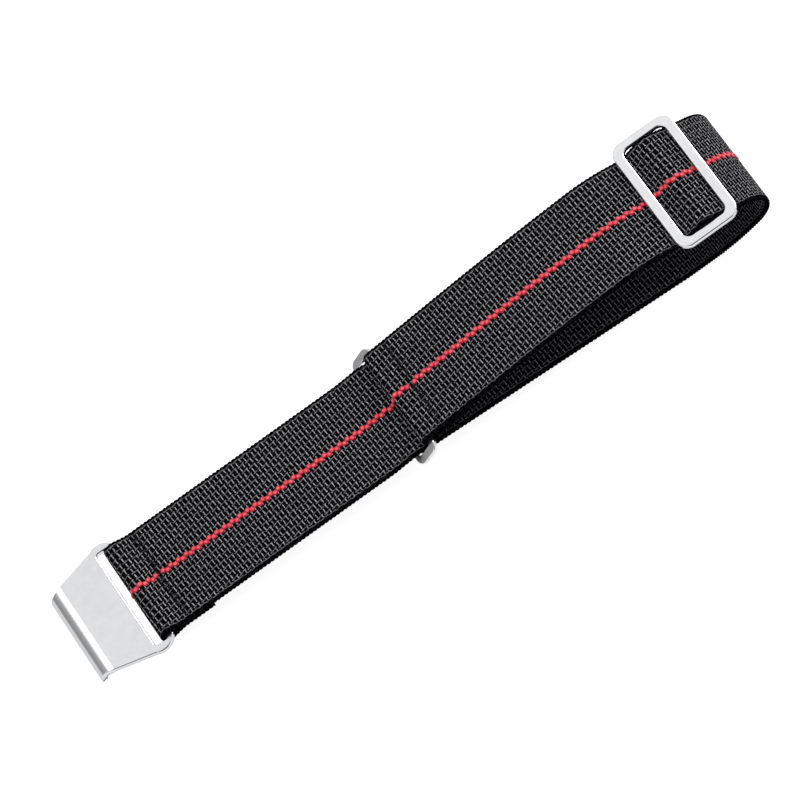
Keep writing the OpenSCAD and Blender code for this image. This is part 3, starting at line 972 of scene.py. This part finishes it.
@dataclass
class ElasticBand:
    """The woven band: webbing, red yarns and rubber threads, stretch by stretch.

    The weave is squeezed round the loop, sinks at the seams and has no beads there. The turns of
    the selvedge are in degrees, from one face to the other.
    """

    route: BandRoute
    weave: Weave
    width: float = 20.5
    per_pick: int = 6
    per_rib: int = 8
    edge_turn: tuple[float, ...] = (20, 45, 70, 90, 110, 135, 160)
    edge_sink: float = 0.6
    edge_weave: float = 0.2
    squeeze: float = 0.6
    squeeze_past: float = 2.0
    squeeze_ease: float = 0.7
    samples: int = 20000
    seam_sink: float = 0.10
    seam_reach: float = 0.55
    seam_bare: float = 0.57
    # deep red is also the beads' painted shade at their rims, light red also their painted highlight
    red_deep_and_shade: Colour = (0.34, 0.004, 0.014, 1)
    red_pale_and_highlight: Colour = (0.98, 0.105, 0.145, 1)
    bead_rows: int = 9
    bead_sides: int = 10
    bead_l: float = 1.20
    bead_w: float = 1.08
    bead_h: float = 0.56
    bead_side: float = 0.18
    bead_up: float = 0.16
    bead_turn: float = math.radians(24)
    rubber_d: float = 0.34
    rubber_pitch: float = 0.42
    rubber_reach: float = 8.3
    rubber_step: float = 4.0
    rubber_turn: float = math.radians(15)

    def build(self) -> list[bpy.types.Object]:
        """Builds and dresses every stretch.

        Returns:
            The pieces.
        """
        half_l, half_w = self.bead_l / 2, self.bead_w / 2
        red = BeadFinish("red_yarn", self.red_deep_and_shade, self.red_pale_and_highlight, half_l=half_l, half_w=half_w)
        makers: dict[Kind, tuple[Maker, bpy.types.Material, str]] = {
            Kind.WEBBING: (self._webbing, BlackNylon(self.weave).make(), "black_nylon"),
            Kind.RED_YARN: (self._red_yarns, red.make(), "red_yarn"),
            Kind.RUBBER: (self._rubber, RubberFinish().make(), "rubber_thread"),
        }
        pieces = []
        for stretch in STRETCHES:
            start, end = stretch.span(self.route)
            for kind, node in zip(Kind, stretch.nodes):
                maker, material, slot = makers[kind]
                piece = maker(f"{kind.value}_{stretch.name}", start, end, material)
                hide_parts(node)
                stretch.carry(piece, self.route)
                count = len(piece.data.polygons)
                log.info("%s: %d faces from %.1f to %.1f mm", piece.name, count, start, end)
                pieces.append(piece)
        return pieces

    def _woven(self, s: np.ndarray) -> np.ndarray:
        """Length of even weave up to each length, with the picks closer together round the loop."""
        low, high = self.route.cuts["floor"] + self.squeeze_past, self.route.cuts["nose"]
        ease = self.squeeze_ease
        more = np.logaddexp(0, (s - low) / ease) - np.logaddexp(0, (s - high) / ease)
        return s + self.squeeze * ease * more

    def _laid(self, woven: np.ndarray) -> np.ndarray:
        """Lengths along the band at lengths of even weave."""
        s = np.linspace(-1, self.route.length + 1, self.samples)
        return np.interp(woven, self._woven(s), s)

    def _seam_pull(self, s: np.ndarray) -> np.ndarray:
        """How near each length lies to a seam, from 0 to 1."""
        pull = np.zeros_like(s)
        for pair in self.route.seams.values():
            for at in pair:
                pull = np.maximum(pull, np.exp(-(((s - at) / self.seam_reach) ** 2)))
        return pull

    def _rows(self, start: float, end: float) -> np.ndarray:
        """Lengths of a stretch's rows of points: its two ends and even steps of the weave between."""
        step = self.weave.pick / self.per_pick
        first, last = self._woven(np.array([start, end])) / step
        inner = np.arange(math.ceil(first + 0.2), math.floor(last - 0.2) + 1) * step
        return np.concatenate([[start], self._laid(inner), [end]])

    def _columns(self, flat: float) -> np.ndarray:
        """Even steps of the weave across the band, up to a distance from its middle."""
        step, middle = self.weave.rib / self.per_rib, self.weave.middle
        first, last = math.ceil((-flat - middle) / step), math.floor((flat - middle) / step)
        return middle + np.arange(first, last + 1) * step

    def _webbing(
        self, name: str, start: float, end: float, material: bpy.types.Material
    ) -> bpy.types.Object:
        """Weaves one stretch: both faces in relief, lobed selvedges and closed ends."""
        route, weave = self.route, self.weave
        s = self._rows(start, end)
        woven = self._woven(s)[:, None]
        pull = self._seam_pull(s)[:, None]
        sink = self.seam_sink * pull
        flat = self.width / 2 - weave.selvedge
        t = self._columns(flat)
        from_s, from_t = weave.uneven(woven, t[None, :])
        left_face = route.half_t - weave.relief(from_s, from_t, 1) - sink
        right_face = weave.relief(from_s, from_t, -1) + sink - route.half_t

        arc = np.radians(self.edge_turn)
        lobe = weave.selvedge - weave.lobe * (1 - np.abs(np.cos(np.pi * woven / weave.pick)))
        left_end, right_end = flat - np.abs(t[[0, -1]])
        right_t = t[-1] + (lobe + right_end) * np.sin(arc)
        left_t = t[0] - (lobe + left_end) * np.sin(arc)
        edge_h = (route.half_t - self.edge_sink * weave.depth - sink) * np.cos(arc)

        across = np.tile(t, (len(s), 1))
        tt = np.concatenate([across, right_t, across[:, ::-1], left_t[:, ::-1]], axis=1)
        hh = np.concatenate([left_face, edge_h, right_face[:, ::-1], edge_h[:, ::-1]], axis=1)
        rows, columns = tt.shape
        points = route.place(np.repeat(s, columns), tt.ravel(), hh.ravel())
        cap = self._cap(len(t), len(arc))
        end_row = (rows - 1) * columns
        faces = grid_faces(rows, columns)[:, ::-1].tolist() + cap
        faces += [[k + end_row for k in reversed(face)] for face in cap]

        reach = flat + self.edge_weave
        from_s, from_t = weave.uneven(woven, np.clip(tt, -reach, reach))
        mark = np.where(hh >= 0, 1.0, -1.0) * (1 + pull)
        place = np.stack([from_s, from_t, mark], axis=-1)
        return add_mesh(name, points, faces, [material], place.reshape(-1, 3))

    @staticmethod
    def _cap(n: int, m: int) -> list[list[int]]:
        """Faces that close one end, from each point of the upper face to the one below it.

        Args:
            n: Points across a face of the band.
            m: Points round a selvedge.

        Returns:
            The point numbers of each face.
        """
        half = m // 2
        left = 2 * n + m
        upper = [left + half + 1 + k for k in range(half)] + list(range(n + half))
        lower = [left + half - 1 - k for k in range(half)] + [left - 1 - k for k in range(n + half)]
        quads = [[upper[k], upper[k + 1], lower[k + 1], lower[k]] for k in range(n + 2 * half - 1)]
        return quads + [[left + half, upper[0], lower[0]], [upper[-1], n + half, lower[-1]]]

    def _bead(self) -> tuple[np.ndarray, np.ndarray, np.ndarray]:
        """Places along, across and up on one bead, lying along the band."""
        polar = np.linspace(0, np.pi, self.bead_rows)[:, None]
        turn = np.arange(self.bead_sides) * 2 * np.pi / self.bead_sides
        x, y, z = np.cos(polar) + 0 * turn, np.sin(polar) * np.cos(turn), np.sin(polar) * np.sin(turn)
        half = np.array([self.bead_l, self.bead_w, self.bead_h]) / 2
        return x.ravel() * half[0], y.ravel() * half[1], z.ravel() * half[2]

    def _red_yarns(
        self, name: str, start: float, end: float, material: bpy.types.Material
    ) -> bpy.types.Object:
        """Sets the beads of the two red yarns in both faces, with gaps at the seams."""
        weave, route = self.weave, self.route
        x, y, z = self._bead()
        faces_one = grid_faces(self.bead_rows, self.bead_sides)
        points, stored, faces = [], [], []
        low, high = self._woven(np.array([start, end])) / weave.pick - 0.5
        for k in range(math.ceil(low), math.floor(high) + 1):
            before, at, after = self._laid((np.array([0.0, 0.5, 1.0]) + k) * weave.pick)
            if self._seam_pull(np.array([at]))[0] > self.seam_bare:
                continue
            close = (after - before) / weave.pick
            way = 1 if k % 2 else -1
            cos, sin = math.cos(way * self.bead_turn), math.sin(way * self.bead_turn)
            s = np.clip(at + (x * cos - y * sin) * close, 0.0, route.length)
            t = weave.middle + way * self.bead_side + (x * sin + y * cos)
            h = route.half_t - self.bead_h / 2 + self.bead_up + z
            for side in (1, -1):
                faces += (faces_one + len(points) * len(x)).tolist()
                points.append(route.place(s, t, side * h))
                stored.append(np.stack([x, y, z + 3.7 * at], -1))
        return add_mesh(name, np.concatenate(points), faces, [material], np.concatenate(stored))

    def _rubber(
        self, name: str, start: float, end: float, material: bpy.types.Material
    ) -> bpy.types.Object:
        """Lays the rubber threads side by side inside the band."""
        batch = TubeBatch(sides=6)
        s = self.route.bends(start, end, self.rubber_step, self.rubber_turn)
        x, z, a = self.route.at(s)
        normals = np.stack([-np.sin(a), 0 * a, np.cos(a)], -1)
        radii = np.full(len(s), self.rubber_d / 2)
        count = int(2 * self.rubber_reach / self.rubber_pitch) + 1
        for t in np.linspace(-self.rubber_reach, self.rubber_reach, count):
            batch.add(np.stack([x, 0 * x + t, z], -1), radii, normals, s)
        return batch.make(name, material)


class SeamPlace(Enum):
    """Which fold a seam closes."""

    CLASP = "clasp"
    RING = "ring"


@dataclass
class ZigzagSeam:
    """A zigzag seam sewn through both layers of a fold.

    Each stitch arches off the face, and its ends dive into the band. The thread in each hole
    joins the two faces and stops a little short of them.
    """

    route: BandRoute
    place: SeamPlace
    body: str
    width: float = 20.0
    margin: float = 1.0
    pitch: float = 1.25
    half_w: float = 0.5
    thread_d: float = 0.22
    sink: float = 0.14
    hole_short: float = 0.02
    arch: float = 0.09
    dive: float = 0.14
    stitch_points: int = 9
    thin_end: float = 0.8
    swell: float = 0.25
    deep: Colour = (0.001, 0.001, 0.002, 1)
    light: Colour = (0.009, 0.009, 0.011, 1)

    def build(self) -> bpy.types.Object:
        """Sews the seam.

        Returns:
            The piece.
        """
        node = f"{self.place.value}_seam"
        thread = YarnFinish("sewing_thread", self.deep, self.light, roughness=0.5, gloss=0.10, sheen=0.01)
        over, under = self.route.seams[self.place.value]
        x, z, a = (float(v[0]) for v in self.route.at(np.array([over])))
        along = np.array([math.cos(a), 0, math.sin(a)])
        up = np.array([-math.sin(a), 0, math.cos(a)])
        if up[2] < 0:
            along, up = -along, -up
        middle = np.array([x, 0, z]) - up * self.route.fold_step / 2
        batch = TubeBatch()
        count = 2 * int((self.width / 2 - self.margin) / self.pitch)
        holes = [((-1) ** (k + 1) * self.half_w, (k - count / 2) * self.pitch) for k in range(count + 1)]
        face = (self.route.fold_step + self.route.band_t) / 2 - self.sink
        for way in (1, -1):
            for k in range(count):
                self._stitch(batch, middle, along, up * way, face, holes[k], holes[k + 1])
        reach = up * (face - self.hole_short)
        for hole in holes:
            foot = middle + along * hole[0] + np.array([0, hole[1], 0])
            ends = np.stack([foot - reach, foot, foot + reach])
            batch.add(ends, np.full(3, self.thread_d / 2), np.tile(along, (3, 1)), np.arange(3.0))
        piece = batch.make(f"{node}_thread", thread.make())
        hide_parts(node)
        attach(piece, self.body)
        log.info("%s: %d stitches on each face", piece.name, count)
        return piece

    def _stitch(
        self,
        batch: TubeBatch,
        middle: np.ndarray,
        along: np.ndarray,
        up: np.ndarray,
        face: float,
        start: tuple[float, float],
        end: tuple[float, float],
    ) -> None:
        """Adds one stitch that rises out of a hole, lies on the face and dives into the next."""
        k = np.linspace(0, 1, self.stitch_points)
        flat = np.outer(1 - k, start) + np.outer(k, end)
        rise = face + self.arch * np.clip(np.sin(np.pi * k), 0, None) ** 0.5
        rise[[0, -1]] -= self.dive
        centres = middle + flat[:, :1] * along + np.outer(flat[:, 1], (0, 1, 0)) + rise[:, None] * up
        radii = self.thread_d / 2 * (self.thin_end + self.swell * np.sin(np.pi * k))
        run = k * math.dist(start, end) + 1.7 * start[1]
        batch.add(centres, radii, np.tile(up, (len(k), 1)), run)


# Steel pieces


@dataclass
class SteelPart:
    """A pressed steel piece: the solid's own shape with rounded, polished edges.

    A face is one of the sheet's cut edges, or a broad face, by how far its normal points across
    the strap.
    """

    name: str
    node: str
    body: str
    slot: str
    edge: float = 0.20
    tone: float = 0.80
    steps: int = 3
    sharp: float = math.radians(32)
    crease: float = math.radians(32)
    flat: float = math.radians(1)
    merge: float = 0.05
    cut_face: float = 0.35
    broad_face: float = 0.05

    def build(self) -> bpy.types.Object:
        """Copies the solid's shape, rounds its edges and dresses it.

        Returns:
            The piece.
        """
        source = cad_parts[self.node]
        mesh = source.data.copy()
        mesh.name = self.name
        mesh.transform(source.matrix_world)
        mesh.materials.clear()
        mesh.materials.append(SatinSteel(f"satin_{self.slot}", self.tone).make())
        mesh.materials.append(PolishedSteel(f"polished_{self.slot}").make())
        self._mark_edges(mesh)
        piece = bpy.data.objects.new(self.name, mesh)
        bpy.context.scene.collection.objects.link(piece)
        rim = piece.modifiers.new("rounded_edges", "BEVEL")
        rim.width = self.edge * MM
        rim.segments = self.steps
        rim.limit_method = "WEIGHT"
        rim.material = 1
        rim.use_clamp_overlap = False
        normals = piece.modifiers.new("flat_faces", "WEIGHTED_NORMAL")
        normals.keep_sharp = True
        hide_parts(self.node)
        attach(piece, self.body)
        log.info("%s: %d faces", self.name, len(mesh.polygons))
        return piece

    def _mark_edges(self, mesh: bpy.types.Mesh) -> None:
        """Cleans a solid's mesh and marks its polished faces, rounded edges and creases."""
        work = bmesh.new()
        work.from_mesh(mesh)
        bmesh.ops.remove_doubles(work, verts=work.verts, dist=1e-6)
        bmesh.ops.dissolve_limit(work, angle_limit=self.flat, verts=work.verts, edges=work.edges)
        bmesh.ops.remove_doubles(work, verts=work.verts, dist=self.merge * MM)
        for face in work.faces:
            face.material_index = 1 if self._is_polished(face) else 0
        work.edges.index_update()
        creases = {edge.index for edge in work.edges if self._is_crease(edge)}
        share = work.edges.layers.float.new("bevel_weight_edge")
        for edge in work.edges:
            edge[share] = self._rounding(edge)
        work.to_mesh(mesh)
        work.free()
        mesh.shade_smooth()
        mesh.set_sharp_from_angle(angle=self.sharp)
        for i in creases:
            mesh.edges[i].use_edge_sharp = True

    def _is_cut(self, face: bmesh.types.BMFace) -> bool:
        """Whether a face is one of the sheet's cut edges."""
        return abs(face.normal.y) > self.cut_face

    def _is_polished(self, face: bmesh.types.BMFace) -> bool:
        """Whether a face is polished, which only the cut edges are."""
        return self._is_cut(face)

    def _rounding(self, edge: bmesh.types.BMEdge) -> float:
        """Share of the full rounding that an edge gets, which is none inside a corner."""
        if len(edge.link_faces) != 2 or not edge.is_convex or edge.calc_face_angle() < self.sharp:
            return 0.0
        return 0.0 if all(self._is_cut(face) for face in edge.link_faces) else 1.0

    def _is_crease(self, edge: bmesh.types.BMEdge) -> bool:
        """Whether an edge between two broad faces is a crease to keep crisp."""
        faces = edge.link_faces
        broad = len(faces) == 2 and all(abs(face.normal.y) < self.broad_face for face in faces)
        return broad and edge.calc_face_angle() > self.crease


@dataclass
class HookClasp(SteelPart):
    """The clasp plate with its slot and the hook bent back under it."""

    name: str = "hook_clasp_plate"
    node: str = "hook_clasp"
    body: str = "clasp"
    slot: str = "clasp_steel"
    edge: float = 0.22
    # darker than the other steel parts: painted shade, a dimmer copy of the same steel
    tone: float = 0.76
    crease: float = math.radians(7)
    bend_face: float = 0.06
    bend_top: float = 2.7
    bend_share: float = 0.6

    def _is_polished(self, face: bmesh.types.BMFace) -> bool:
        """Whether a face is a cut edge or lies on the bend of the hook."""
        return self._is_cut(face) or face.normal.x < -self.bend_face

    def _rounding(self, edge: bmesh.types.BMEdge) -> float:
        """Share of the full rounding, which is less on the narrow sheet below the bend."""
        low = max(v.co.z for v in edge.verts) < self.bend_top * MM
        return super()._rounding(edge) * (self.bend_share if low else 1.0)


@dataclass
class KeeperRing(SteelPart):
    """The ring that keeps the two runs of the band together."""

    name: str = "keeper_ring_wire"
    node: str = "keeper_ring"
    body: str = "ring_section"
    slot: str = "ring_steel"
    edge: float = 0.15


@dataclass
class AdjusterFrame(SteelPart):
    """The frame that the band is threaded through, with its middle bar."""

    name: str = "adjuster_frame_plate"
    node: str = "adjuster_frame"
    body: str = "adjuster"
    slot: str = "frame_steel"
    edge: float = 0.20
    # paler than the other steel parts: painted light, a lit copy of the same steel
    tone: float = 0.88


# Studio


@dataclass(frozen=True)
class SoftLight:
    """One soft rectangular light: its name, place, size, power and whether the steel shows it."""

    name: str
    place: tuple[float, float, float]
    size: tuple[float, float]
    power: float
    seen: bool = True

    def hang(self, target: Sequence[float]) -> None:
        """Adds the light to the scene, facing a target."""
        data = bpy.data.lights.new(self.name, "AREA")
        data.shape = "RECTANGLE"
        data.size, data.size_y = self.size
        data.energy = self.power
        lamp = bpy.data.objects.new(self.name, data)
        lamp.location = self.place
        aim = Vector(target) - Vector(self.place)
        lamp.rotation_euler = aim.to_track_quat("-Z", "Y").to_euler()
        lamp.visible_camera = False
        lamp.visible_glossy = self.seen
        bpy.context.scene.collection.objects.link(lamp)


LIGHTS = (
    SoftLight("strip_light", (-0.385, 0.43, 0.87), (0.13, 0.50), 0.29),
    SoftLight("side_light", (0.95, 0.30, 0.60), (0.60, 0.60), 8.0),
    SoftLight("top_light", (0.05, 0.12, 1.00), (0.80, 0.50), 6.0, seen=False),
)


@dataclass
class Studio:
    """Pale floor, soft lights, the light of the room and the camera.

    The room is dark behind the camera and lit elsewhere, so that the steel is grey in places.
    """

    azimuth: float = math.radians(0.263)
    elevation: float = math.radians(64.732)
    roll: float = math.radians(35.746)
    distance: float = 0.940
    focal_px: float = 5403.7
    image_px: float = 800.0
    offset_px: tuple[float, float] = (6.27, -0.68)
    target: tuple[float, float, float] = (0.0, 0.0, 0.005)
    sensor_mm: float = 36.0
    floor_size: float = 6.0
    floor_z: float = -0.0002
    floor_glow: float = 0.89
    white: Colour = (1.0, 1.0, 1.0, 1)
    card_r: float = 0.90
    card_y: tuple[float, float] = (0.05, 0.90)
    card_tilt: tuple[float, float] = (27, 88)
    card_rows: int = 16
    card_fade: Fade = (0.74, 0.97, 0.0, 0.6)
    room_tint: Colour = (0.98, 0.99, 1.0, 1)
    room_up: Fade = (0.0, 0.5, 0.65, 0.90)
    room_behind: Fade = (-0.5, 0.15, 0.04, 1.0)
    room_aside: Fade = (0.30, 0.52, 0.0, 0.9)
    ground_behind: Fade = (-0.7, -0.2, 1.0, 0.72)
    horizon: tuple[float, float] = (-0.04, 0.02)

    def build(self) -> None:
        """Sets up the floor, the lights and the camera."""
        bpy.context.scene.view_settings.view_transform = "Standard"
        self._floor()
        self._dark_card()
        for light in LIGHTS:
            light.hang(self.target)
        self._room()
        self._camera()

    def _floor(self) -> None:
        """Lays the floor that the strap lies on."""
        r, z = self.floor_size / 2, self.floor_z
        points = np.array([[-r, -r, z], [r, -r, z], [r, r, z], [-r, r, z]])
        b = NodeBench("pale_floor")
        grain = b.noise(b.in_mm(), 0.02, 2.0)
        b.set("Base Color", b.mix(grain, (0.33, 0.33, 0.33, 1), (0.37, 0.37, 0.37, 1)))
        b.set("Roughness", 0.8)
        b.set("Specular IOR Level", 0.1)
        b.set("Emission Color", self.white)
        b.set("Emission Strength", self.floor_glow)
        floor = add_mesh("floor", points, [[0, 1, 2, 3]], [b.material])
        floor.visible_glossy = False
        floor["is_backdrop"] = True

    def _dark_card(self) -> None:
        """Hangs a curved card beyond the hook, grey at its foot and paler upwards, for the bend."""
        tilt = np.radians(np.linspace(*self.card_tilt, self.card_rows))
        arch = np.stack([-np.sin(tilt), 0 * tilt, np.cos(tilt)], -1) * self.card_r
        points = np.concatenate([arch + (0, y, 0) for y in self.card_y])
        b = NodeBench("dark_card")
        parts = b.add("ShaderNodeSeparateXYZ")
        b.feed(parts.inputs[0], b.scaled(b.in_mm(), (MM / self.card_r,) * 3))
        z = parts.outputs[2]
        slow = b.math("MULTIPLY_ADD", b.times(z, z), 0.27, 0.22)
        glow = b.math("ADD", slow, b.fade(z, *self.card_fade))
        b.set("Base Color", (0.02, 0.02, 0.02, 1))
        b.set("Roughness", 0.9)
        b.set("Emission Color", self.white)
        b.set("Emission Strength", glow)
        card = add_mesh("dark_card", points, grid_faces(2, len(tilt), closed=False), [b.material])
        card.visible_camera = False
        card.visible_shadow = False
        card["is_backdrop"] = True

    def _room(self) -> None:
        """Lights the room by the direction from the strap."""
        b = NodeBench("studio_room", bpy.data.worlds.new("studio_room"))
        parts = b.add("ShaderNodeSeparateXYZ")
        b.feed(parts.inputs[0], b.add("ShaderNodeTexCoord").outputs["Generated"])
        x, y, z = parts.outputs
        behind, aside = b.fade(y, *self.room_behind), b.fade(b.unsigned(x), *self.room_aside)
        sky = b.times(b.fade(z, *self.room_up), b.math("MAXIMUM", behind, aside))
        ground = b.times(b.fade(y, *self.ground_behind), b.fade(z, *self.horizon))
        sky = b.times(sky, b.fade(z, *self.horizon, 0.0, 1.0))
        b.set("Color", self.room_tint)
        b.set("Strength", b.math("ADD", sky, ground))
        bpy.context.scene.world = b.material

    def _camera(self) -> None:
        """Places the camera at the photograph's viewing angle."""
        az, el, roll = self.azimuth, self.elevation, self.roll
        right = Vector((math.cos(az), math.sin(az), 0))
        look = Vector((-math.sin(az) * math.cos(el), math.cos(az) * math.cos(el), -math.sin(el)))
        up = right.cross(look)
        across = math.cos(roll) * right - math.sin(roll) * up
        upright = math.sin(roll) * right + math.cos(roll) * up
        per_px = self.distance / self.focal_px
        place = Vector(self.target) - look * self.distance
        place -= across * self.offset_px[0] * per_px + upright * self.offset_px[1] * per_px
        data = bpy.data.cameras.new("camera")
        data.sensor_width = self.sensor_mm
        data.lens = self.focal_px * self.sensor_mm / self.image_px
        data.clip_start = 0.01
        data.clip_end = 20.0
        camera = bpy.data.objects.new("camera", data)
        matrix = Matrix((across, upright, -look)).transposed().to_4x4()
        matrix.translation = place
        camera.matrix_world = matrix
        bpy.context.scene.collection.objects.link(camera)
        bpy.context.scene.camera = camera


def main() -> None:
    """Builds the strap piece by piece and notes its size."""
    logging.basicConfig(level=logging.INFO, format="%(name)s: %(message)s")
    Studio().build()
    route = BandRoute()
    ElasticBand(route, Weave()).build()
    ZigzagSeam(route, SeamPlace.CLASP, "clasp_end").build()
    ZigzagSeam(route, SeamPlace.RING, "ring_section").build()
    for part in (HookClasp(), KeeperRing(), AdjusterFrame()):
        part.build()
    boxes = {
        "solids": [list(corner) for corner in solid_box],
        "dressed": [list(corner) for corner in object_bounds()],
    }
    log.info("size in mm: %s", [round((b - a) / MM, 2) for a, b in zip(*boxes["dressed"])])


if __name__ == "__main__":
    main()
